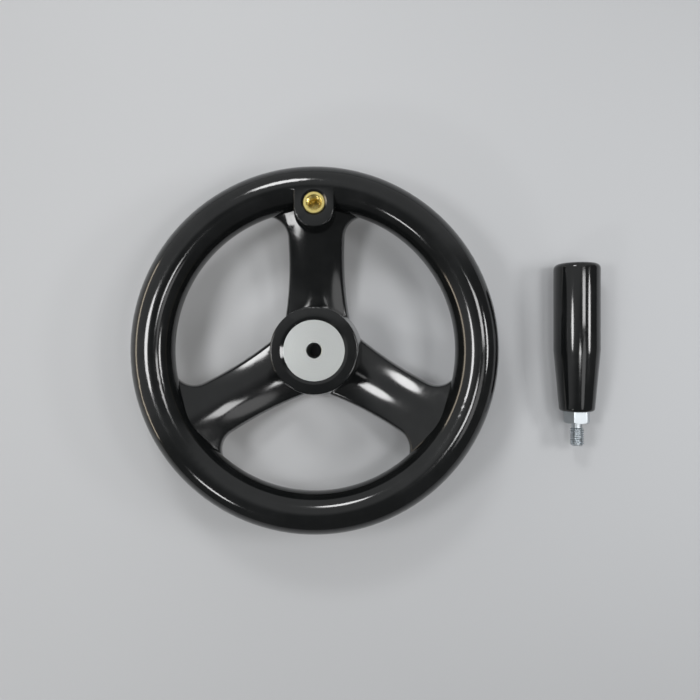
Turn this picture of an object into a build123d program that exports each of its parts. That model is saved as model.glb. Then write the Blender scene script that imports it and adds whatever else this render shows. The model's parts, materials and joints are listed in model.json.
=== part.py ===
from build123d import *
from build123d.topology import SkipClean
from math import asin, cos, degrees, radians, sin, sqrt, tan
import os

# Three-spoke machine handwheel, moulded in black thermoset round a steel hub bush and a brass handle
# insert, with its own revolving handle unscrewed and lying beside it.
# Millimetres. The origin is on the bore's axis, in the hub's back face. +Z runs along the bore to the
# wheel's front, +Y points at the handle's boss, and +X points at the loose handle.

# Rim: an oval section carried round the axis.
RIM_DIAMETER = 200.0
RIM_WIDTH = 23.5
RIM_HEIGHT = 26.0
RIM_CREST = 46.0

# Hub: widest at the parting plane, and drafted from there to both faces.
HUB_FACE_DIAMETER = 46.6
HUB_FACE_HEIGHT = 44.6
HUB_PARTING_HEIGHT = 15.0
HUB_DRAFT = 5.0
HUB_BACK_DRAFT = 8.0
HUB_EDGE_RADIUS = 0.8

# Steel bush moulded into the hub, with a pilot bore that the user opens to size.
BUSH_DIAMETER = 32.6
BUSH_SET_BACK = 1.0
BUSH_GROOVE_DEPTH = 1.0
BUSH_GROOVE_WIDTH = 4.0
BUSH_RECESS_DIAMETER = 36.0
PILOT_DIAMETER = 8.0
PILOT_CHAMFER = 0.3

# Spokes: crowned bars that climb from the hub to the rim, with leaning side walls.
SPOKE_COUNT = 3
SPOKE_THICKNESS = 10.0
SPOKE_TOP_AT_HUB = 18.0
SPOKE_TOP_AT_RIM = 37.0
SPOKE_SAG = 2.5
SPOKE_CROWN_RADIUS = 38.0
SPOKE_FLANK_ANGLE = 12.5
SPOKE_WAIST_WIDTH = 33.0
SPOKE_WAIST_RADIUS = 45.2
SPOKE_SIDE_RADIUS = 174.0
SPOKE_SIDE_LEAN = 8.0
SPOKE_FLARE_RADIUS = 10.0
SPOKE_FLARE_DEPTH = 2.2
SPOKE_ROOT_ANGLE = 72.0
SPOKE_ROOT_WIDTH = 58.0
SPOKE_EDGE_RADIUS = 2.2

# Boss for the handle, on the first spoke's outer end, just under the rim's crest.
BOSS_WIDTH = 21.2
BOSS_CENTRE_OFFSET = 2.4
BOSS_SET_DOWN = 0.3
BOSS_DRAFT = 4.0
BOSS_EDGE_RADIUS = 0.6

# Brass insert moulded into the boss, tapped for the handle's stud.
HANDLE_INSET = 21.7
INSERT_DIAMETER = 12.0
INSERT_SET_BACK = 0.8
INSERT_LENGTH = 15.0
INSERT_GROOVE_DEPTH = 0.8
INSERT_GROOVE_WIDTH = 3.0
INSERT_RECESS_DIAMETER = 13.8
THREAD_DIAMETER = 8.0
THREAD_MINOR_DIAMETER = 6.8
TAPPED_DEPTH = 13.0

# Grip of the revolving handle: a cylinder that tapers in a cone to its open end.
GRIP_DIAMETER = 26.0
GRIP_CYLINDER_LENGTH = 49.4
GRIP_CONE_LENGTH = 35.1
GRIP_NECK_DIAMETER = 19.6
GRIP_END_RADIUS = 3.0
GRIP_NECK_RADIUS = 1.9

# Spindle: a shaft inside the grip, a hexagon for the spanner, and a threaded stud.
SHAFT_DIAMETER = 10.0
SHAFT_LENGTH = 57.0
SHAFT_CHAMFER = 0.8
HEXAGON_SIZE = 13.0
HEXAGON_LENGTH = 6.6
HEXAGON_CHAMFER_ANGLE = 30.0
UNDERCUT_DIAMETER = 6.0
UNDERCUT_LENGTH = 2.6
STUD_LENGTH = 12.9
STUD_CHAMFER = 1.0

# Retaining ring: round spring wire, sprung into a groove of the shaft.
RING_POSITION = 14.0
RING_WIRE = 1.4
RING_GAP_ANGLE = 50.0
RING_GROOVE_DEPTH = 0.9

# Clearances between the pieces of the handle.
RUNNING_CLEARANCE = 0.05
COLLAR_CLEARANCE = 0.25
SHAFT_END_CLEARANCE = 3.0
RING_SEAT_CLEARANCE = 0.05
RING_OUTER_CLEARANCE = 0.2
RING_SIDE_CLEARANCE = 0.15

# Where the loose handle lies, its grip on the surface that the hub stands on.
HANDLE_DISTANCE = 36.6
HANDLE_FREE_END_Y = 49.7

# Sizes that follow from those above.
RIM_CENTRE_RADIUS = (RIM_DIAMETER - RIM_WIDTH) / 2
RIM_WALL_RADIUS = RIM_CENTRE_RADIUS - RIM_WIDTH / 2
RIM_MID_HEIGHT = RIM_CREST - RIM_HEIGHT / 2
HUB_FACE_RADIUS = HUB_FACE_DIAMETER / 2
HUB_PARTING_RADIUS = HUB_FACE_RADIUS + (HUB_FACE_HEIGHT - HUB_PARTING_HEIGHT) * tan(radians(HUB_DRAFT))
HUB_BACK_RADIUS = HUB_PARTING_RADIUS - HUB_PARTING_HEIGHT * tan(radians(HUB_BACK_DRAFT))
BUSH_LENGTH = HUB_FACE_HEIGHT - BUSH_SET_BACK
SPOKE_REACH = Vector(0, RIM_WALL_RADIUS - HUB_PARTING_RADIUS, SPOKE_TOP_AT_RIM - SPOKE_TOP_AT_HUB)
SPOKE_BEND_RADIUS = (SPOKE_REACH.length**2 / 4 + SPOKE_SAG**2) / (2 * SPOKE_SAG)
SPOKE_ROOT_LEVEL = SPOKE_TOP_AT_HUB - SPOKE_THICKNESS
SPOKE_ANGLE = 360 / SPOKE_COUNT
HANDLE_RADIUS = RIM_DIAMETER / 2 - HANDLE_INSET
BOSS_CENTRE_RADIUS = HANDLE_RADIUS - BOSS_CENTRE_OFFSET
BOSS_TOP = RIM_CREST - BOSS_SET_DOWN
INSERT_TOP = BOSS_TOP - INSERT_SET_BACK
THREAD_CHAMFER = (THREAD_DIAMETER - THREAD_MINOR_DIAMETER) / 2
GRIP_LENGTH = GRIP_CYLINDER_LENGTH + GRIP_CONE_LENGTH
GRIP_BORE_DIAMETER = SHAFT_DIAMETER + 2 * RUNNING_CLEARANCE
RING_GROOVE_DIAMETER = SHAFT_DIAMETER - 2 * RING_GROOVE_DEPTH
RING_RADIUS = RING_GROOVE_DIAMETER / 2 + RING_SEAT_CLEARANCE + RING_WIRE / 2
HANDLE_X = (RIM_DIAMETER + GRIP_DIAMETER) / 2 + HANDLE_DISTANCE
COLLAR_Y = HANDLE_FREE_END_Y - GRIP_LENGTH - COLLAR_CLEARANCE

# Places. The seams of the round faces lie in a gap between two spokes, and the handle's own frame has its
# origin in the collar's face and its +Z along the shaft.
MID_GAP = Rot(0, 0, SPOKE_ANGLE / 4)
BOSS_PLACE = Pos(0, HANDLE_RADIUS, 0)
HANDLE_PLACE = Plane(origin=(HANDLE_X, COLLAR_Y, GRIP_DIAMETER / 2), x_dir=(1, 0, 0), z_dir=(0, 1, 0))


def turned(points):
    """Solid of revolution about Z from (radius, height) points."""
    outline = Polyline(*[(radius, 0, height) for radius, height in points], close=True)
    return revolve(make_face(outline), Axis.Z)


def rim():
    """Oval ring of the rim."""
    section = Plane.XZ * Pos(RIM_CENTRE_RADIUS, RIM_MID_HEIGHT) * Ellipse(RIM_WIDTH / 2, RIM_HEIGHT / 2)
    return MID_GAP * revolve(section, Axis.Z)


def hub():
    """Hub barrel, drafted both ways from its parting plane."""
    barrel = turned([
        (0, 0),
        (HUB_BACK_RADIUS, 0),
        (HUB_PARTING_RADIUS, HUB_PARTING_HEIGHT),
        (HUB_FACE_RADIUS, HUB_FACE_HEIGHT),
        (0, HUB_FACE_HEIGHT),
    ])
    end_edges = barrel.faces().filter_by(Axis.Z).edges()
    return MID_GAP * fillet(end_edges, HUB_EDGE_RADIUS)


def rim_wall_radius(level):
    """Distance from the axis to the rim's inner wall, at a height within its section."""
    share = (level - RIM_MID_HEIGHT) / (RIM_HEIGHT / 2)
    return RIM_CENTRE_RADIUS - RIM_WIDTH / 2 * sqrt(1 - share**2)


def spoke_plan(level):
    """Outline of the spoke along +Y at one height, with flares that run out just inside the rim's wall."""
    lean = (level - SPOKE_ROOT_LEVEL) * tan(radians(SPOKE_SIDE_LEAN))
    top_wall = rim_wall_radius(SPOKE_TOP_AT_RIM)
    wall_slope = (top_wall - rim_wall_radius(SPOKE_TOP_AT_RIM - SPOKE_THICKNESS)) / SPOKE_THICKNESS
    root = top_wall + SPOKE_FLARE_DEPTH + (level - SPOKE_TOP_AT_RIM) * wall_slope
    bar = Pos(0, RIM_CENTRE_RADIUS / 2) * Rectangle(2 * SPOKE_WAIST_WIDTH, RIM_CENTRE_RADIUS)
    side_centre = SPOKE_WAIST_WIDTH / 2 + SPOKE_SIDE_RADIUS
    for side in (-1, 1):
        bar -= Pos(side * side_centre, SPOKE_WAIST_RADIUS) * Circle(SPOKE_SIDE_RADIUS + lean)
    reach = RIM_DIAMETER * tan(radians(SPOKE_ROOT_ANGLE / 2))
    sector = make_face(Polyline((0, 0), (-reach, RIM_DIAMETER), (reach, RIM_DIAMETER), close=True))
    ring = (Circle(RIM_CENTRE_RADIUS) - Circle(root)) & sector
    plan = (bar & Circle(RIM_CENTRE_RADIUS)) + ring
    corners = [
        vertex for vertex in plan.vertices()
        if abs(Vector(vertex).length - root) < 0.01 and abs(vertex.X) < SPOKE_WAIST_WIDTH * 1.1
    ]
    return Pos(0, 0, level) * fillet(corners, SPOKE_FLARE_RADIUS + lean)


def crowned_bar():
    """Cross-section of the spoke: a round crown that runs out into straight flanks, on a flat back."""
    reach = SPOKE_ROOT_WIDTH / 2
    flank = radians(SPOKE_FLANK_ANGLE)
    shoulder = SPOKE_CROWN_RADIUS * sin(flank)
    drop = SPOKE_CROWN_RADIUS * (1 - cos(flank))
    foot = drop + (reach - shoulder) * tan(flank)
    crown = ThreePointArc((-shoulder, -drop), (0, 0), (shoulder, -drop))
    rest = Polyline(
        (shoulder, -drop),
        (reach, -foot),
        (reach, -SPOKE_THICKNESS),
        (-reach, -SPOKE_THICKNESS),
        (-reach, -foot),
        (-shoulder, -drop),
    )
    return make_face([*crown.edges(), *rest.edges()])


def spoke():
    """One spoke along +Y: its plan with leaning walls, under a crowned top that sweeps up to the rim in an arc."""
    walls = loft([spoke_plan(0), spoke_plan(HUB_FACE_HEIGHT)], ruled=True)
    middle = Vector(0, HUB_PARTING_RADIUS, SPOKE_TOP_AT_HUB) + SPOKE_REACH / 2
    upward = Vector(0, -SPOKE_REACH.Z, SPOKE_REACH.Y).normalized()
    bend_centre = middle + upward * (SPOKE_BEND_RADIUS - SPOKE_SAG)
    start, end = (
        asin((radius - bend_centre.Y) / SPOKE_BEND_RADIUS)
        for radius in (HUB_FACE_RADIUS / 2, RIM_DIAMETER / 2)
    )
    along = Vector(0, cos(start), sin(start))
    foot = bend_centre + Vector(0, sin(start), -cos(start)) * SPOKE_BEND_RADIUS
    section = Plane(origin=foot, x_dir=(-1, 0, 0), z_dir=along) * crowned_bar()
    bar = walls & revolve(section, Axis(bend_centre, (1, 0, 0)), revolution_arc=degrees(end - start))
    tops = bar.faces().filter_by(lambda face: face.normal_at().Z > 0.5)
    long_edges = [
        edge for edge in tops.edges()
        if abs(edge.center().X) > SPOKE_WAIST_WIDTH * 0.3 and HUB_FACE_RADIUS < edge.center().Y < RIM_WALL_RADIUS
    ]
    return fillet(long_edges, SPOKE_EDGE_RADIUS)


def boss():
    """Handle boss on the spoke along +Y: straight sides, a round inner end and a flat top."""
    depth = BOSS_TOP - SPOKE_TOP_AT_RIM + SPOKE_THICKNESS
    reach = RIM_CENTRE_RADIUS - BOSS_CENTRE_RADIUS
    pad = Circle(BOSS_WIDTH / 2) + Pos(0, reach / 2) * Rectangle(BOSS_WIDTH, reach)
    block = extrude(Pos(0, BOSS_CENTRE_RADIUS, BOSS_TOP) * pad, amount=-depth, taper=-BOSS_DRAFT)
    top = block.faces().sort_by(Axis.Z)[-1]
    return fillet(top.edges().sort_by(Axis.Y)[:-1], BOSS_EDGE_RADIUS)


def grooved_post(diameter, length, top, groove_depth, groove_width):
    """Round post below a height, with an anchoring groove round its middle."""
    radius = diameter / 2
    middle = top - length / 2
    return turned([
        (0, top - length),
        (radius, top - length),
        (radius, middle - groove_width / 2),
        (radius - groove_depth, middle - groove_width / 2),
        (radius - groove_depth, middle + groove_width / 2),
        (radius, middle + groove_width / 2),
        (radius, top),
        (0, top),
    ])


def bush_post():
    """The hub bush without its bore: what the moulding closes round."""
    return grooved_post(BUSH_DIAMETER, BUSH_LENGTH, BUSH_LENGTH, BUSH_GROOVE_DEPTH, BUSH_GROOVE_WIDTH)


def insert_post():
    """The handle insert without its thread, in the boss."""
    post = grooved_post(INSERT_DIAMETER, INSERT_LENGTH, INSERT_TOP, INSERT_GROOVE_DEPTH, INSERT_GROOVE_WIDTH)
    return BOSS_PLACE * post


def funnel(inner_diameter, outer_diameter, bottom, top):
    """Cone-shaped recess that opens upwards round a set-back insert."""
    return turned([(0, bottom), (inner_diameter / 2, bottom), (outer_diameter / 2, top), (0, top)])


def wheel_body():
    """The moulding: rim, spokes, hub and boss in one piece, with the seats of both inserts."""
    limbs = [Rot(0, 0, index * SPOKE_ANGLE) * spoke() for index in range(SPOKE_COUNT)]
    limbs += [hub(), boss()]
    seats = [
        bush_post(),
        funnel(BUSH_DIAMETER, BUSH_RECESS_DIAMETER, BUSH_LENGTH, HUB_FACE_HEIGHT),
        insert_post(),
        BOSS_PLACE * funnel(INSERT_DIAMETER, INSERT_RECESS_DIAMETER, INSERT_TOP, BOSS_TOP),
    ]
    body = rim()
    with SkipClean():
        for limb in limbs:
            body += limb
        for seat in seats:
            body -= seat
    return body


def hub_bush():
    """Steel bush with its pilot bore."""
    bush = bush_post() - Cylinder(PILOT_DIAMETER / 2, 3 * BUSH_LENGTH)
    mouth = bush.faces().sort_by(Axis.Z)[-1].edges().sort_by(SortBy.LENGTH)[0]
    return chamfer(mouth, PILOT_CHAMFER)


def handle_insert():
    """Brass insert with a blind tapped hole, drilled to the thread's minor diameter."""
    radius = THREAD_MINOR_DIAMETER / 2
    hole = turned([
        (0, INSERT_TOP - TAPPED_DEPTH),
        (radius, INSERT_TOP - TAPPED_DEPTH),
        (radius, INSERT_TOP - THREAD_CHAMFER),
        (radius + THREAD_CHAMFER, INSERT_TOP),
        (0, INSERT_TOP),
    ])
    return insert_post() - BOSS_PLACE * hole


def grip():
    """Grip in the handle's frame, with a blind bore and an inner groove for the retaining ring."""
    mouth = COLLAR_CLEARANCE
    outside = turned([
        (0, mouth),
        (GRIP_NECK_DIAMETER / 2, mouth),
        (GRIP_DIAMETER / 2, mouth + GRIP_CONE_LENGTH),
        (GRIP_DIAMETER / 2, mouth + GRIP_LENGTH),
        (0, mouth + GRIP_LENGTH),
    ])
    outside = fillet(outside.faces().sort_by(Axis.Z)[-1].edges(), GRIP_END_RADIUS)
    outside = fillet(outside.faces().sort_by(Axis.Z)[0].edges(), GRIP_NECK_RADIUS)
    bore_radius = GRIP_BORE_DIAMETER / 2
    groove_radius = RING_RADIUS + RING_WIRE / 2 + RING_OUTER_CLEARANCE
    groove_half = RING_WIRE / 2 + RING_SIDE_CLEARANCE
    bore = turned([
        (0, 0),
        (bore_radius, 0),
        (bore_radius, RING_POSITION - groove_half),
        (groove_radius, RING_POSITION - groove_half),
        (groove_radius, RING_POSITION + groove_half),
        (bore_radius, RING_POSITION + groove_half),
        (bore_radius, SHAFT_LENGTH + SHAFT_END_CLEARANCE),
        (0, SHAFT_LENGTH + SHAFT_END_CLEARANCE),
    ])
    return outside - bore


def hexagon():
    """Spanner hexagon below the collar's face, its stud-side corners turned off in a cone."""
    flat_radius = HEXAGON_SIZE / 2
    corner_radius = flat_radius / cos(radians(30))
    drop = (corner_radius - flat_radius) * tan(radians(HEXAGON_CHAMFER_ANGLE))
    block = extrude(RegularPolygon(flat_radius, 6, major_radius=False), amount=-HEXAGON_LENGTH)
    envelope = turned([
        (0, -HEXAGON_LENGTH),
        (flat_radius, -HEXAGON_LENGTH),
        (corner_radius, drop - HEXAGON_LENGTH),
        (corner_radius, 0),
        (0, 0),
    ])
    return block & envelope


def spindle():
    """Spindle in the handle's frame: shaft with its ring groove, hexagon, undercut and stud."""
    shaft_radius = SHAFT_DIAMETER / 2
    groove_radius = RING_GROOVE_DIAMETER / 2
    groove_half = RING_WIRE / 2 + RING_SIDE_CLEARANCE
    stud_radius = THREAD_DIAMETER / 2
    stud_end = -HEXAGON_LENGTH - STUD_LENGTH
    undercut_end = -HEXAGON_LENGTH - UNDERCUT_LENGTH
    core = turned([
        (0, stud_end),
        (stud_radius - STUD_CHAMFER, stud_end),
        (stud_radius, stud_end + STUD_CHAMFER),
        (stud_radius, undercut_end),
        (UNDERCUT_DIAMETER / 2, undercut_end),
        (UNDERCUT_DIAMETER / 2, -HEXAGON_LENGTH / 2),
        (shaft_radius, -HEXAGON_LENGTH / 2),
        (shaft_radius, RING_POSITION - groove_half),
        (groove_radius, RING_POSITION - groove_half),
        (groove_radius, RING_POSITION + groove_half),
        (shaft_radius, RING_POSITION + groove_half),
        (shaft_radius, SHAFT_LENGTH - SHAFT_CHAMFER),
        (shaft_radius - SHAFT_CHAMFER, SHAFT_LENGTH),
        (0, SHAFT_LENGTH),
    ])
    return core + hexagon()


def retaining_ring():
    """Open ring of round wire in the shaft's groove."""
    wire = Plane.XZ * Pos(RING_RADIUS, RING_POSITION) * Circle(RING_WIRE / 2)
    return revolve(wire, Axis.Z, revolution_arc=360 - RING_GAP_ANGLE)


PIECES = {
    "wheel_body": wheel_body(),
    "hub_bush": hub_bush(),
    "handle_insert": handle_insert(),
    "grip": HANDLE_PLACE * grip(),
    "spindle": HANDLE_PLACE * spindle(),
    "retaining_ring": HANDLE_PLACE * retaining_ring(),
}

os.makedirs("parts", exist_ok=True)
for node, shape in PIECES.items():
    export_step(shape, f"parts/{node}.step")
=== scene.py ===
import json
from math import cos, pi, radians, tan

import bpy
import numpy as np
from bpy.props import FloatProperty, FloatVectorProperty, PointerProperty
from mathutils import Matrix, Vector


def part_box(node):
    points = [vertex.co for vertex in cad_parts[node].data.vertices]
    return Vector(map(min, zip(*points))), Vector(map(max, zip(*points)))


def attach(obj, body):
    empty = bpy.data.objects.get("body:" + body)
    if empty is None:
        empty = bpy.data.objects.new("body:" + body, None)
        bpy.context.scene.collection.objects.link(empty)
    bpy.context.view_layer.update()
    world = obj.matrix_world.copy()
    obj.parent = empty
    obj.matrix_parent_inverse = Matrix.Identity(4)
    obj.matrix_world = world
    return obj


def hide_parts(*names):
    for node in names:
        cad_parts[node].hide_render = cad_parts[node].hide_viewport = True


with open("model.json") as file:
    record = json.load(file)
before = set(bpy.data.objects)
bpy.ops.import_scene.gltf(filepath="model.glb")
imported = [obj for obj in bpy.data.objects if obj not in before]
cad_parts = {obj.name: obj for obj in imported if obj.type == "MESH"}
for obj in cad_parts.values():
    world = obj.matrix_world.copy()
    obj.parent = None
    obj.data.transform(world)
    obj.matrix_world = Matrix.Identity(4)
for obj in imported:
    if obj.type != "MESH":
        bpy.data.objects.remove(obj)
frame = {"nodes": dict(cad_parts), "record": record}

# Looks of a moulded three-spoke machine handwheel with its revolving handle lying beside it. The wheel body,
# the hub bush, the grip and the retaining ring are the CAD nodes, smoothed and given their finishes. The
# handle insert and the spindle are made here, because their threads are left out of the CAD.

bl_info = {
    "name": "Machine handwheel",
    "version": (1, 0, 0),
    "blender": (4, 5, 0),
    "location": "3D View > Sidebar > Handwheel",
    "description": "Dresses a moulded machine handwheel and its loose revolving handle, and lights them",
    "category": "Object",
}

MM = 0.001

# Bevel of the hexagon's corners, and half the angle that one of its facets spans.
BEVEL = HALF_FACET = radians(30)

# Small sizes of the insert and the spindle, in metres.
ANCHOR_GROOVE = 0.8 * MM
STUD_CHAMFER = 1.0 * MM
SHAFT_CHAMFER = 0.8 * MM

# Where the thread's flat crest ends and its flat root starts, as shares of the way from crest to root.
CREST_END, ROOT_START = 0.125, 0.75

# Edges gentler than this are shaded smooth, and corners closer than this are merged.
SMOOTH_ANGLE = radians(24)
MERGE_DISTANCE = 0.002 * MM

# Marks of handling: noise scale, and the noise levels between which they appear.
CLOUD_SCALE, CLOUD_RANGE = 55.0, (0.45, 0.75)
STREAK_SCALE, STREAK_RANGE = 260.0, (0.62, 0.72)

THERMOSET_IOR = 1.55
NODES = frame["nodes"]
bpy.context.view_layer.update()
MOUNTS = {mount["name"]: mount for mount in frame["record"]["mounts"]}

# Places and sizes that the frame gives, in metres.
GRIP_LOW = Vector(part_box("grip")[0])
SPINDLE_LOW, SPINDLE_HIGH = (Vector(corner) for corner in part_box("spindle"))
INSERT_LOW, INSERT_HIGH = (Vector(corner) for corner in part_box("handle_insert"))
INSERT_AXIS = (INSERT_LOW + INSERT_HIGH) / 2
SPINDLE_AXIS = (SPINDLE_LOW + SPINDLE_HIGH) / 2
STUD_RADIUS = MOUNTS["handle_stud"]["dims"]["r_mm"] * MM
TAPPED_RADIUS = MOUNTS["handle_thread"]["dims"]["r_mm"] * MM


class HANDWHEEL_PG_handle(bpy.types.PropertyGroup):
    """Sizes of the threads, the insert and the spindle."""
    thread_pitch: FloatProperty(
        name="Thread pitch", description="Pitch of the stud's and the insert's thread",
        default=1.25 * MM, min=0.2 * MM, unit="LENGTH", precision=5)
    thread_depth: FloatProperty(
        name="Thread depth", description="Depth of the thread's groove",
        default=0.68 * MM, min=0.05 * MM, unit="LENGTH", precision=5)
    hexagon_length: FloatProperty(
        name="Hexagon length", description="Length of the spanner hexagon below the grip",
        default=6.6 * MM, min=1 * MM, unit="LENGTH", precision=5)
    collar_clearance: FloatProperty(
        name="Collar clearance", description="Gap between the hexagon's face and the grip",
        default=0.25 * MM, min=0.0, unit="LENGTH", precision=5)
    undercut_diameter: FloatProperty(
        name="Undercut diameter", description="Waist between the hexagon and the thread",
        default=6.0 * MM, min=1 * MM, unit="LENGTH", precision=5)
    undercut_length: FloatProperty(
        name="Undercut length", description="Length of the waist between the hexagon and the thread",
        default=2.6 * MM, min=0.1 * MM, unit="LENGTH", precision=5)
    shaft_diameter: FloatProperty(
        name="Shaft diameter", description="Shaft that the grip turns on",
        default=10.0 * MM, min=1 * MM, unit="LENGTH", precision=5)
    ring_position: FloatProperty(
        name="Ring position", description="Distance of the retaining ring's groove from the hexagon's face",
        default=14.0 * MM, min=1 * MM, unit="LENGTH", precision=5)
    ring_groove_width: FloatProperty(
        name="Ring groove width", description="Width of the retaining ring's groove",
        default=1.7 * MM, min=0.1 * MM, unit="LENGTH", precision=5)
    ring_groove_depth: FloatProperty(
        name="Ring groove depth", description="Depth of the retaining ring's groove",
        default=0.9 * MM, min=0.1 * MM, unit="LENGTH", precision=5)
    tapped_depth: FloatProperty(
        name="Tapped depth", description="Depth of the insert's blind tapped hole",
        default=13.0 * MM, min=1 * MM, unit="LENGTH", precision=5)
    mouth_edge: FloatProperty(
        name="Mouth edge", description="Straight edge at the top of the tapped hole",
        default=0.2 * MM, min=0.0, unit="LENGTH", precision=5)
    mouth_depth: FloatProperty(
        name="Mouth depth", description="Depth of the tapped hole's edge and countersink together",
        default=0.9 * MM, min=0.3 * MM, unit="LENGTH", precision=5)
    hexagon_edge: FloatProperty(
        name="Hexagon edge", description="Height of the hexagon's broken corners beside the grip",
        default=0.25 * MM, min=0.0, unit="LENGTH", precision=5)
    insert_land: FloatProperty(
        name="Insert chamfer", description="Width of the chamfer round the insert's rim",
        default=0.45 * MM, min=0.0, unit="LENGTH", precision=5)


class HANDWHEEL_PG_finish(bpy.types.PropertyGroup):
    """Colours and gloss of the materials."""
    plastic_colour: FloatVectorProperty(
        name="Plastic", description="Body colour of the moulded black thermoset",
        subtype="COLOR", default=(0.0060, 0.0066, 0.0068), min=0.0, max=1.0)
    plastic_bloom: FloatVectorProperty(
        name="Plastic bloom", description="Colour of the thermoset where handling has dulled it a little",
        subtype="COLOR", default=(0.0105, 0.0112, 0.0115), min=0.0, max=1.0)
    plastic_roughness: FloatProperty(
        name="Plastic roughness", description="Roughness of the polished moulding",
        default=0.10, min=0.0, max=1.0)
    plastic_waves: FloatProperty(
        name="Plastic waves", description="Height of the slow waves in the moulded surface",
        default=0.010 * MM, min=0.0, unit="LENGTH", precision=6)
    bush_colour: FloatVectorProperty(
        name="Bush", description="Colour of the turned steel hub bush",
        subtype="COLOR", default=(0.61, 0.63, 0.62), min=0.0, max=1.0)
    brass_colour: FloatVectorProperty(
        name="Brass", description="Colour of the handle insert",
        subtype="COLOR", default=(0.97, 0.80, 0.30), min=0.0, max=1.0)
    zinc_colour: FloatVectorProperty(
        name="Zinc", description="Colour of the zinc-plated spindle",
        subtype="COLOR", default=(0.56, 0.60, 0.63), min=0.0, max=1.0)
    spring_colour: FloatVectorProperty(
        name="Spring steel", description="Colour of the retaining ring's wire",
        subtype="COLOR", default=(0.35, 0.35, 0.36), min=0.0, max=1.0)


class HANDWHEEL_PG_stage(bpy.types.PropertyGroup):
    """Camera, floor and light."""
    camera_height: FloatProperty(
        name="Camera height", description="Height of the lens above the floor",
        default=0.400, min=0.1, unit="LENGTH")
    camera_place: FloatVectorProperty(
        name="Camera place", description="Point of the floor that lies straight below the lens",
        size=2, subtype="XYZ", unit="LENGTH", default=(0.0191, 0.0003), precision=5)
    focal_length: FloatProperty(
        name="Focal length", description="Lens focal length in millimetres, on a 36 mm sensor",
        default=34.6, min=10.0)
    floor_colour: FloatVectorProperty(
        name="Floor", description="Colour of the floor",
        subtype="COLOR", default=(0.56, 0.57, 0.585), min=0.0, max=1.0)
    lamp_height: FloatProperty(
        name="Lamp height", description="Height of the lamps above the floor",
        default=0.480, min=0.1, unit="LENGTH")
    room_bright: FloatProperty(
        name="Bright side", description="Level of the room's light on the side beyond the boss",
        default=0.50, min=0.0)
    room_dark: FloatProperty(
        name="Dark side", description="Level of the room's light on the side away from the boss",
        default=0.10, min=0.0)


# Node helpers.

def add(tree, kind, inputs=None, **settings):
    """New node of a kind. An input is a plain value, or another node's output, which is linked."""
    item = tree.nodes.new(kind)
    for name, value in settings.items():
        setattr(item, name, value)
    for name, value in (inputs or {}).items():
        if isinstance(value, bpy.types.NodeSocket):
            tree.links.new(value, item.inputs[name])
        else:
            item.inputs[name].default_value = value
    return item


def maths(tree, operation, first, second):
    """Result of a maths node on two values or outputs."""
    return add(tree, "ShaderNodeMath", {0: first, 1: second}, operation=operation).outputs[0]


def spread(tree, value, low, high):
    """A value from 0 to 1, carried to the range from low to high."""
    return add(tree, "ShaderNodeMapRange", {"Value": value, "To Min": low, "To Max": high}).outputs["Result"]


def blend(tree, factor, first, second):
    """Colour between two colours."""
    mix = tree.nodes.new("ShaderNodeMix")
    mix.data_type = "RGBA"
    tree.links.new(factor, mix.inputs[0])
    mix.inputs[6].default_value = (*first, 1)
    mix.inputs[7].default_value = (*second, 1)
    return mix.outputs[2]


def new_group(name, inputs, outputs):
    """Shader node group with its sockets, given as (name, type, default), and its two end nodes."""
    tree = bpy.data.node_groups.new(name, "ShaderNodeTree")
    for label, kind, default in inputs:
        socket = tree.interface.new_socket(label, in_out="INPUT", socket_type=kind)
        if default is not None:
            socket.default_value = default
    for label, kind in outputs:
        tree.interface.new_socket(label, in_out="OUTPUT", socket_type=kind)
    return tree, tree.nodes.new("NodeGroupInput"), tree.nodes.new("NodeGroupOutput")


def place_group(tree, group, inputs):
    """Node that uses a shared group in a material, with its own values."""
    item = tree.nodes.new("ShaderNodeGroup")
    item.node_tree = group
    for name, value in inputs.items():
        if isinstance(value, bpy.types.NodeSocket):
            tree.links.new(value, item.inputs[name])
        else:
            item.inputs[name].default_value = value
    return item


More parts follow.
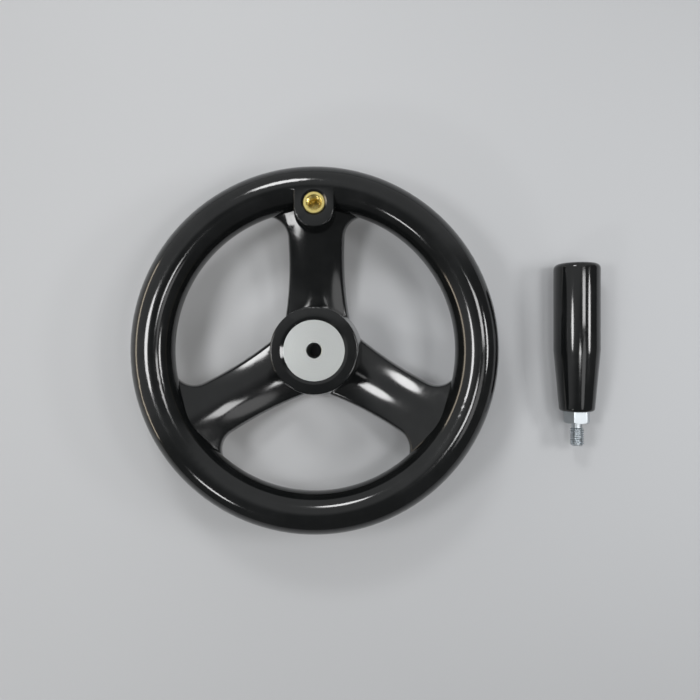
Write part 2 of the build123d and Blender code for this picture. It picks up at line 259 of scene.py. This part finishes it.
def handling_group():
    """Shared effect: a moulded or plated surface's slow waves and fine skin as a normal, and a mask of the
    faint cloudy marks and hairlines that handling leaves."""
    name = "Moulded skin"
    if name in bpy.data.node_groups:
        return bpy.data.node_groups[name]
    tree, source, result = new_group(
        name,
        [("Vector", "NodeSocketVector", None), ("Wave size", "NodeSocketFloat", 0.012),
         ("Wave height", "NodeSocketFloat", 0.00001), ("Skin size", "NodeSocketFloat", 0.0016),
         ("Skin height", "NodeSocketFloat", 0.000001)],
        [("Normal", "NodeSocketVector"), ("Marks", "NodeSocketFloat")])
    spot = source.outputs["Vector"]
    wave_scale = maths(tree, "DIVIDE", 1.0, source.outputs["Wave size"])
    skin_scale = maths(tree, "DIVIDE", 1.0, source.outputs["Skin size"])
    waves = add(tree, "ShaderNodeTexNoise", {"Vector": spot, "Scale": wave_scale, "Detail": 1.0})
    skin = add(tree, "ShaderNodeTexNoise", {"Vector": spot, "Scale": skin_scale, "Detail": 2.0})
    clouds = add(tree, "ShaderNodeTexNoise", {"Vector": spot, "Scale": CLOUD_SCALE, "Detail": 6.0, "Roughness": 0.6})
    streaks = add(tree, "ShaderNodeTexNoise", {"Vector": spot, "Scale": STREAK_SCALE, "Detail": 4.0, "Distortion": 3.0})
    wave_bump = add(tree, "ShaderNodeBump", {"Height": waves.outputs["Fac"], "Strength": 1.0,
                                             "Distance": source.outputs["Wave height"]})
    skin_bump = add(tree, "ShaderNodeBump", {"Height": skin.outputs["Fac"], "Strength": 1.0,
                                             "Distance": source.outputs["Skin height"],
                                             "Normal": wave_bump.outputs["Normal"]})
    cloud_mask = add(tree, "ShaderNodeMapRange", {
        "Value": clouds.outputs["Fac"], "From Min": CLOUD_RANGE[0], "From Max": CLOUD_RANGE[1]})
    streak_mask = add(tree, "ShaderNodeMapRange", {
        "Value": streaks.outputs["Fac"], "From Min": STREAK_RANGE[0], "From Max": STREAK_RANGE[1], "To Max": 0.5})
    marks = maths(tree, "MAXIMUM", cloud_mask.outputs["Result"], streak_mask.outputs["Result"])
    tree.links.new(skin_bump.outputs["Normal"], result.inputs["Normal"])
    tree.links.new(marks, result.inputs["Marks"])
    return tree


def turned_group():
    """Shared effect: tool marks of a turned face. The distance from a centre drives a one-dimensional noise,
    which gives rings as a normal and as a mask."""
    name = "Turned rings"
    if name in bpy.data.node_groups:
        return bpy.data.node_groups[name]
    tree, source, result = new_group(
        name,
        [("Vector", "NodeSocketVector", None), ("Centre", "NodeSocketVector", None),
         ("Ring width", "NodeSocketFloat", 0.0002), ("Ring height", "NodeSocketFloat", 0.000004)],
        [("Normal", "NodeSocketVector"), ("Rings", "NodeSocketFloat")])
    arm = add(tree, "ShaderNodeVectorMath", {0: source.outputs["Vector"], 1: source.outputs["Centre"]},
              operation="SUBTRACT")
    flat = add(tree, "ShaderNodeVectorMath", {0: arm.outputs[0], 1: (1.0, 1.0, 0.0)}, operation="MULTIPLY")
    radius = add(tree, "ShaderNodeVectorMath", {0: flat.outputs[0]}, operation="LENGTH").outputs["Value"]
    turns = maths(tree, "DIVIDE", radius, source.outputs["Ring width"])
    rings = add(tree, "ShaderNodeTexNoise", {"W": turns, "Scale": 0.5, "Detail": 3.0, "Roughness": 0.65},
                noise_dimensions="1D")
    bump = add(tree, "ShaderNodeBump", {"Height": rings.outputs["Fac"], "Strength": 1.0,
                                        "Distance": source.outputs["Ring height"]})
    tree.links.new(bump.outputs["Normal"], result.inputs["Normal"])
    tree.links.new(rings.outputs["Fac"], result.inputs["Rings"])
    return tree


# Materials.

def new_material(name):
    """A material with an empty node tree, its tree, its Principled shader and its object coordinates."""
    material = bpy.data.materials.new(name)
    material.use_nodes = True
    tree = material.node_tree
    spot = tree.nodes.new("ShaderNodeTexCoord").outputs["Object"]
    return material, tree, tree.nodes["Principled BSDF"], spot


def wire(tree, shader, links):
    """Links outputs to a shader's inputs, by name."""
    for name, output in links.items():
        tree.links.new(output, shader.inputs[name])


def thermoset(name, wave_size):
    """Polished black moulded plastic: a deep black with faint dull clouds under a glossy, slightly wavy skin."""
    finish = bpy.context.scene.handwheel_finish
    material, tree, shader, spot = new_material(name)
    skin = place_group(tree, handling_group(), {
        "Vector": spot, "Wave size": wave_size, "Wave height": finish.plastic_waves,
        "Skin size": 1.4 * MM, "Skin height": 0.0008 * MM})
    marks = skin.outputs["Marks"]
    wire(tree, shader, {
        "Base Color": blend(tree, marks, finish.plastic_colour, finish.plastic_bloom),
        "Roughness": spread(tree, marks, finish.plastic_roughness, finish.plastic_roughness + 0.05),
        "Normal": skin.outputs["Normal"],
    })
    shader.inputs["IOR"].default_value = THERMOSET_IOR
    return material


def turned_metal(name, colour, centre, roughness, ring_width, ring_height):
    """Turned metal: concentric tool marks that shift its tone, its roughness and its normal."""
    material, tree, shader, spot = new_material(name)
    rings = place_group(tree, turned_group(), {
        "Vector": spot, "Centre": centre, "Ring width": ring_width, "Ring height": ring_height})
    cuts = rings.outputs["Rings"]
    wire(tree, shader, {
        "Base Color": blend(tree, cuts, [0.86 * level for level in colour], colour),
        "Roughness": spread(tree, cuts, roughness - 0.05, roughness + 0.10),
        "Normal": rings.outputs["Normal"],
    })
    shader.inputs["Metallic"].default_value = 1.0
    return material


def plated_metal(name, colour, roughness, dull):
    """Plated or plain steel: a soft grain, with cloudy patches where the surface has a dull share of its tone."""
    material, tree, shader, spot = new_material(name)
    skin = place_group(tree, handling_group(), {
        "Vector": spot, "Wave size": 2.5 * MM, "Wave height": 0.004 * MM,
        "Skin size": 0.35 * MM, "Skin height": 0.0015 * MM})
    marks = skin.outputs["Marks"]
    wire(tree, shader, {
        "Base Color": blend(tree, marks, colour, [dull * level for level in colour]),
        "Roughness": spread(tree, marks, roughness, roughness + 0.14),
        "Normal": skin.outputs["Normal"],
    })
    shader.inputs["Metallic"].default_value = 1.0
    return material


# Meshes.

def smooth_by_angle():
    """Geometry group: merges loose corners, shades smooth, and keeps edges above an angle sharp."""
    name = "Smooth by angle"
    if name in bpy.data.node_groups:
        return bpy.data.node_groups[name]
    tree = bpy.data.node_groups.new(name, "GeometryNodeTree")
    tree.interface.new_socket("Geometry", in_out="INPUT", socket_type="NodeSocketGeometry")
    tree.interface.new_socket("Geometry", in_out="OUTPUT", socket_type="NodeSocketGeometry")
    source = tree.nodes.new("NodeGroupInput")
    result = tree.nodes.new("NodeGroupOutput")
    merge = add(tree, "GeometryNodeMergeByDistance", {"Geometry": source.outputs[0], "Distance": MERGE_DISTANCE})
    angle = add(tree, "GeometryNodeInputMeshEdgeAngle")
    gentle = maths(tree, "LESS_THAN", angle.outputs["Unsigned Angle"], SMOOTH_ANGLE)
    faces = add(tree, "GeometryNodeSetShadeSmooth", {"Geometry": merge.outputs["Geometry"]}, domain="FACE")
    edges = add(tree, "GeometryNodeSetShadeSmooth",
                {"Geometry": faces.outputs["Geometry"], "Shade Smooth": gentle}, domain="EDGE")
    tree.links.new(edges.outputs["Geometry"], result.inputs[0])
    return tree


def smooth(piece):
    """Adds the smoothing modifier to a piece."""
    piece.modifiers.new("Smooth", "NODES").node_group = smooth_by_angle()


def dress(node, material):
    """Gives a CAD node its material, and smooths its mesh by a modifier."""
    piece = NODES[node]
    piece.data.materials.clear()
    piece.data.materials.append(material)
    smooth(piece)


def lathe_piece(name, radius, height, place, material):
    """A closed surface round an axis. Point (i, j) lies at angle j and height[i], at distance radius[i, j]
    from the axis, and place carries (across, up, along) arrays to the object's frame. The first and the last
    row have radius 0 and close the surface in poles."""
    rows, turns = radius.shape
    angle = np.arange(turns) * 2 * pi / turns
    across = radius * np.cos(angle)
    up = radius * np.sin(angle)
    along = np.repeat(height[:, None], turns, axis=1)
    grid = place(across, up, along)
    inner = grid[1:-1].reshape(-1, 3)
    points = np.vstack([grid[0, :1], inner, grid[-1, :1]])
    index = 1 + np.arange((rows - 2) * turns).reshape(rows - 2, turns)
    after = np.roll(index, -1, axis=1)
    quads = np.stack([index[:-1], after[:-1], after[1:], index[1:]], axis=-1).reshape(-1, 4)
    first = np.stack([np.zeros(turns, int), after[0], index[0]], axis=-1)
    last = np.stack([np.full(turns, len(points) - 1), index[-1], after[-1]], axis=-1)
    mesh = bpy.data.meshes.new(name)
    mesh.from_pydata(points.tolist(), [], quads.tolist() + first.tolist() + last.tolist())
    mesh.materials.append(material)
    piece = bpy.data.objects.new(name, mesh)
    bpy.context.scene.collection.objects.link(piece)
    smooth(piece)
    return piece


def thread_depth(angle, height, pitch, depth):
    """Depth of a thread's groove at an angle and a height: a trapezoid wave of the height less the turn's
    share of the pitch, flat over an eighth of the pitch at the crest and over a quarter at the root."""
    phase = (height[:, None] / pitch - angle[None, :] / (2 * pi)) % 1.0
    from_crest = 2 * np.abs(phase - 0.5)
    return depth * np.clip((from_crest - CREST_END) / (ROOT_START - CREST_END), 0, 1)


def fine_rows(start, end, step):
    """Heights from start to end, a step or less apart."""
    return np.linspace(start, end, int(np.ceil(abs(end - start) / step)) + 1)


TURNS = 96
ANGLES = np.arange(TURNS) * 2 * pi / TURNS
ROWS_PER_PITCH = 16


def flat_rows(points):
    """Radius and height arrays of turned rows, from (radius, height) points."""
    radius, height = np.array(points, float).T
    return np.repeat(radius[:, None], TURNS, axis=1), height


def hexagon_radius(flat_radius):
    """Distance of a hexagon's edge from its axis at each angle, with corners at 0, 60, 120 degrees and so on."""
    turn = (ANGLES % (pi / 3)) - pi / 6
    return flat_radius / np.cos(turn)


def insert_rows(handle):
    """Rows of the brass insert, up its outside and down its tapped hole, with heights from its foot."""
    outer = (INSERT_HIGH.x - INSERT_LOW.x) / 2
    top = INSERT_HIGH.z - INSERT_LOW.z
    neck = outer - ANCHOR_GROOVE
    land = handle.insert_land
    mouth = TAPPED_RADIUS + handle.thread_depth
    floor = top - handle.tapped_depth
    outside = flat_rows([
        (0, 0), (outer, 0), (outer, 0.4 * top), (neck, 0.4 * top), (neck, 0.6 * top),
        (outer, 0.6 * top), (outer, top - land), (outer - land, top), (mouth + handle.mouth_edge, top),
    ])
    start = top - handle.mouth_edge
    heights = fine_rows(start, floor + handle.thread_pitch, handle.thread_pitch / ROWS_PER_PITCH)
    groove_depth = thread_depth(ANGLES, heights, handle.thread_pitch, handle.thread_depth)
    below = (start - heights) / (handle.mouth_depth - handle.mouth_edge)
    countersink = handle.thread_depth * np.clip(1 - below, 0, 1)
    thread = TAPPED_RADIUS + np.maximum(groove_depth, countersink[:, None])
    bottom = flat_rows([(TAPPED_RADIUS, floor + 0.5 * handle.thread_pitch), (TAPPED_RADIUS, floor), (0, floor)])
    radius = np.vstack([outside[0], thread, bottom[0]])
    height = np.concatenate([outside[1], heights, bottom[1]])
    return radius, height


def spindle_rows(handle):
    """Rows of the spindle from the stud's end to the shaft's, with heights from the hexagon's inner face:
    a threaded stud, a waist, a hexagon with its stud-side corners turned off, and a shaft with a groove."""
    end = SPINDLE_LOW.y - (GRIP_LOW.y - handle.collar_clearance)
    hexagon_end = -handle.hexagon_length
    waist_end = hexagon_end - handle.undercut_length
    waist = handle.undercut_diameter / 2
    shaft = handle.shaft_diameter / 2
    shaft_end = SPINDLE_HIGH.y - (GRIP_LOW.y - handle.collar_clearance)

    heights = fine_rows(end, waist_end, handle.thread_pitch / ROWS_PER_PITCH)
    groove_depth = thread_depth(ANGLES, heights, handle.thread_pitch, handle.thread_depth)
    lead = STUD_RADIUS - STUD_CHAMFER + (heights - end)
    run_out = waist + (waist_end - heights)
    thread = np.minimum(STUD_RADIUS - groove_depth, np.minimum(lead, run_out)[:, None])

    flat = (SPINDLE_HIGH.z - SPINDLE_LOW.z) / 2
    corner = flat / cos(HALF_FACET)
    side = hexagon_radius(flat)
    drop = (corner - flat) * tan(BEVEL)
    hexagon_heights = np.concatenate([
        fine_rows(hexagon_end, hexagon_end + drop, drop / 12), [-handle.hexagon_edge, 0.0]])
    cut = flat + (hexagon_heights - hexagon_end) / tan(BEVEL)
    cut[-1] = corner - handle.hexagon_edge / 2
    hexagon = np.minimum(side[None, :], cut[:, None])

    half_groove = handle.ring_groove_width / 2
    neck = shaft - handle.ring_groove_depth
    after_ring = flat_rows([
        (shaft, 0.0), (shaft, handle.ring_position - half_groove), (neck, handle.ring_position - half_groove),
        (neck, handle.ring_position + half_groove), (shaft, handle.ring_position + half_groove),
        (shaft, shaft_end - SHAFT_CHAMFER), (shaft - SHAFT_CHAMFER, shaft_end), (0, shaft_end),
    ])
    start = flat_rows([(0, end)])
    middle = flat_rows([(waist, waist_end), (waist, hexagon_end)])
    radius = np.vstack([start[0], thread, middle[0], hexagon, after_ring[0]])
    height = np.concatenate([start[1], heights, middle[1], hexagon_heights, after_ring[1]])
    return radius, height


# Pieces.

class HANDWHEEL_OT_wheel_body(bpy.types.Operator):
    """Gives the moulded wheel body its polished black finish"""
    bl_idname = "handwheel.wheel_body"
    bl_label = "Wheel body"

    def execute(self, context):
        dress("wheel_body", thermoset("Wheel thermoset", 11 * MM))
        return {"FINISHED"}


class HANDWHEEL_OT_hub_bush(bpy.types.Operator):
    """Gives the steel hub bush its turned finish"""
    bl_idname = "handwheel.hub_bush"
    bl_label = "Hub bush"

    def execute(self, context):
        finish = context.scene.handwheel_finish
        steel = turned_metal("Turned steel", finish.bush_colour, centre=(0, 0, 0), roughness=0.34,
                             ring_width=0.22 * MM, ring_height=0.0035 * MM)
        dress("hub_bush", steel)
        return {"FINISHED"}


class HANDWHEEL_OT_handle_insert(bpy.types.Operator):
    """Builds the brass insert with its tapped hole"""
    bl_idname = "handwheel.handle_insert"
    bl_label = "Handle insert"

    def execute(self, context):
        finish = context.scene.handwheel_finish
        centre = (INSERT_AXIS.x, INSERT_AXIS.y, 0)
        metal = turned_metal("Turned brass", finish.brass_colour, centre, roughness=0.24,
                             ring_width=0.16 * MM, ring_height=0.003 * MM)
        radius, height = insert_rows(context.scene.handwheel_handle)

        def upright(across, up, along):
            """Across is +X, up is +Y and along is +Z, from the insert's foot."""
            return np.stack([INSERT_AXIS.x + across, INSERT_AXIS.y + up, INSERT_LOW.z + along], axis=-1)

        piece = lathe_piece("tapped_insert", radius, height, upright, metal)
        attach(piece, "wheel")
        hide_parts("handle_insert")
        return {"FINISHED"}


class HANDWHEEL_OT_grip(bpy.types.Operator):
    """Gives the revolving grip its polished black finish"""
    bl_idname = "handwheel.grip"
    bl_label = "Grip"

    def execute(self, context):
        dress("grip", thermoset("Grip thermoset", 16 * MM))
        return {"FINISHED"}


class HANDWHEEL_OT_spindle(bpy.types.Operator):
    """Builds the zinc-plated spindle with its hexagon and threaded stud"""
    bl_idname = "handwheel.spindle"
    bl_label = "Spindle"

    def execute(self, context):
        handle = context.scene.handwheel_handle
        finish = context.scene.handwheel_finish
        metal = plated_metal("Blue zinc plate", finish.zinc_colour, roughness=0.30, dull=0.85)
        radius, height = spindle_rows(handle)
        face = GRIP_LOW.y - handle.collar_clearance

        def lying(across, up, along):
            """Along is +Y from the hexagon's inner face, across is +X and up is -Z."""
            return np.stack([SPINDLE_AXIS.x + across, face + along, SPINDLE_AXIS.z - up], axis=-1)

        piece = lathe_piece("threaded_spindle", radius, height, lying, metal)
        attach(piece, "wheel")
        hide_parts("spindle")
        return {"FINISHED"}


class HANDWHEEL_OT_retaining_ring(bpy.types.Operator):
    """Gives the retaining ring inside the grip its plain spring steel"""
    bl_idname = "handwheel.retaining_ring"
    bl_label = "Retaining ring"

    def execute(self, context):
        finish = context.scene.handwheel_finish
        dress("retaining_ring", plated_metal("Spring wire", finish.spring_colour, roughness=0.32, dull=0.70))
        return {"FINISHED"}


# Stage.

FLOOR_REACH = 3.0
FLOOR_ROUGHNESS = 0.7
FLOOR_DARK_SHARE = 0.985

# Way to the room's bright side, where the slope between the two sides starts and ends along it, and its tint.
BRIGHT_SIDE = (-0.45, 0.80, 0.0)
SLOPE_START, SLOPE_END = -0.06, 0.22
ROOM_TINT = (0.985, 1.0, 1.01, 1)

# Low window on the left: place across the floor, height and width in metres, height of its middle.
WINDOW_PLACE = (-1.5, 0.0)
WINDOW_SIZE = (0.22, 1.6)
WINDOW_MIDDLE = 0.26
WINDOW_RADIANCE = 5.0
WINDOW_TINT = (1.0, 0.86, 0.66)

# Lamps that face the floor: name, place across the floor, width and depth in metres, radiance, shape.
LAMPS = (
    ("left_lamp", (-0.230, 0.010), (0.130, 0.130), 16.0, "ELLIPSE"),
    ("back_lamp", (-0.110, 0.400), (0.140, 0.170), 17.0, "ELLIPSE"),
    ("front_lamp", (-0.340, -0.430), (0.150, 0.140), 14.0, "ELLIPSE"),
    ("right_lamp", (0.130, -0.065), (0.080, 0.070), 13.0, "ELLIPSE"),
    ("right_panel", (0.300, -0.110), (0.170, 0.200), 1.6, "ELLIPSE"),
    ("grip_panel", (0.280, 0.065), (0.120, 0.110), 10.0, "RECTANGLE"),
    ("far_right_lamp", (0.600, 0.030), (0.170, 0.220), 14.0, "ELLIPSE"),
)


def lamp(name, place, size, radiance, shape, height):
    """Lamp of a given radiance that faces straight down. Its power is radiance times pi times its area."""
    light = bpy.data.lights.new(name, "AREA")
    light.shape = shape
    light.size, light.size_y = size
    share = pi / 4 if shape == "ELLIPSE" else 1
    light.energy = radiance * pi * share * size[0] * size[1]
    item = bpy.data.objects.new(name, light)
    bpy.context.scene.collection.objects.link(item)
    item.location = (*place, height)
    return item


def window():
    """Low warm window that faces the wheel from the left. The camera doesn't see it."""
    item = lamp("window", WINDOW_PLACE, WINDOW_SIZE, WINDOW_RADIANCE, "RECTANGLE", WINDOW_MIDDLE)
    item.rotation_euler = (0, -pi / 2, 0)
    item.visible_camera = False
    item.data.color = WINDOW_TINT


def floor_sheet(colour):
    """Plain pale floor, a square, with a faint unevenness in its tone."""
    reach = FLOOR_REACH
    corners = [(-reach, -reach, 0), (reach, -reach, 0), (reach, reach, 0), (-reach, reach, 0)]
    mesh = bpy.data.meshes.new("floor")
    mesh.from_pydata(corners, [], [(0, 1, 2, 3)])
    floor = bpy.data.objects.new("floor", mesh)
    bpy.context.scene.collection.objects.link(floor)
    material, tree, shader, spot = new_material("Floor")
    grain = add(tree, "ShaderNodeTexNoise", {"Vector": spot, "Scale": 9.0, "Detail": 2.0})
    darker = [FLOOR_DARK_SHARE * level for level in colour]
    wire(tree, shader, {"Base Color": blend(tree, grain.outputs["Fac"], darker, colour)})
    shader.inputs["Roughness"].default_value = FLOOR_ROUGHNESS
    floor.data.materials.append(material)


def studio_world(stage):
    """Room light: a soft slope from a dark side to a bright side beyond the boss, by the ray's direction."""
    world = bpy.data.worlds.new("studio")
    bpy.context.scene.world = world
    world.use_nodes = True
    tree = world.node_tree
    heading = tree.nodes.new("ShaderNodeTexCoord").outputs["Generated"]
    toward = add(tree, "ShaderNodeVectorMath", {0: heading, 1: BRIGHT_SIDE}, operation="DOT_PRODUCT")
    level = add(tree, "ShaderNodeMapRange",
                {"Value": toward.outputs["Value"], "From Min": SLOPE_START, "From Max": SLOPE_END,
                 "To Min": stage.room_dark, "To Max": stage.room_bright}, interpolation_type="SMOOTHSTEP")
    background = tree.nodes["Background"]
    background.inputs["Color"].default_value = ROOM_TINT
    tree.links.new(level.outputs["Result"], background.inputs["Strength"])


class HANDWHEEL_OT_stage(bpy.types.Operator):
    """Sets up the floor, the camera, the lamps and the world"""
    bl_idname = "handwheel.stage"
    bl_label = "Stage"

    def execute(self, context):
        stage = context.scene.handwheel_stage
        scene = context.scene
        scene.view_settings.view_transform = "Standard"
        floor_sheet(stage.floor_colour)
        camera = bpy.data.objects.new("camera", bpy.data.cameras.new("camera"))
        scene.collection.objects.link(camera)
        camera.data.sensor_width = 36
        camera.data.lens = stage.focal_length
        camera.location = (*stage.camera_place, stage.camera_height)
        scene.camera = camera
        for name, place, size, radiance, shape in LAMPS:
            lamp(name, place, size, radiance, shape, stage.lamp_height)
        window()
        studio_world(stage)
        return {"FINISHED"}


PIECES = (
    HANDWHEEL_OT_wheel_body, HANDWHEEL_OT_hub_bush, HANDWHEEL_OT_handle_insert,
    HANDWHEEL_OT_grip, HANDWHEEL_OT_spindle, HANDWHEEL_OT_retaining_ring,
)
GROUPS = {
    "handwheel_handle": HANDWHEEL_PG_handle,
    "handwheel_finish": HANDWHEEL_PG_finish,
    "handwheel_stage": HANDWHEEL_PG_stage,
}


class HANDWHEEL_PT_panel(bpy.types.Panel):
    """Sidebar panel that lists the sizes, the colours, the pieces and the stage"""
    bl_label = "Machine handwheel"
    bl_idname = "HANDWHEEL_PT_panel"
    bl_space_type = "VIEW_3D"
    bl_region_type = "UI"
    bl_category = "Handwheel"

    def draw(self, context):
        for name, group in GROUPS.items():
            box = self.layout.box()
            for value in group.__annotations__:
                box.prop(getattr(context.scene, name), value)
        for operator in (*PIECES, HANDWHEEL_OT_stage):
            self.layout.operator(operator.bl_idname)


CLASSES = (*GROUPS.values(), *PIECES, HANDWHEEL_OT_stage, HANDWHEEL_PT_panel)


def register():
    for item in CLASSES:
        bpy.utils.register_class(item)
    for name, group in GROUPS.items():
        setattr(bpy.types.Scene, name, PointerProperty(type=group))


def unregister():
    for name in GROUPS:
        delattr(bpy.types.Scene, name)
    for item in reversed(CLASSES):
        bpy.utils.unregister_class(item)


def main():
    register()
    bpy.ops.handwheel.wheel_body()
    bpy.ops.handwheel.hub_bush()
    bpy.ops.handwheel.handle_insert()
    bpy.ops.handwheel.grip()
    bpy.ops.handwheel.spindle()
    bpy.ops.handwheel.retaining_ring()
    bpy.ops.handwheel.stage()


if __name__ == "__main__":
    main()
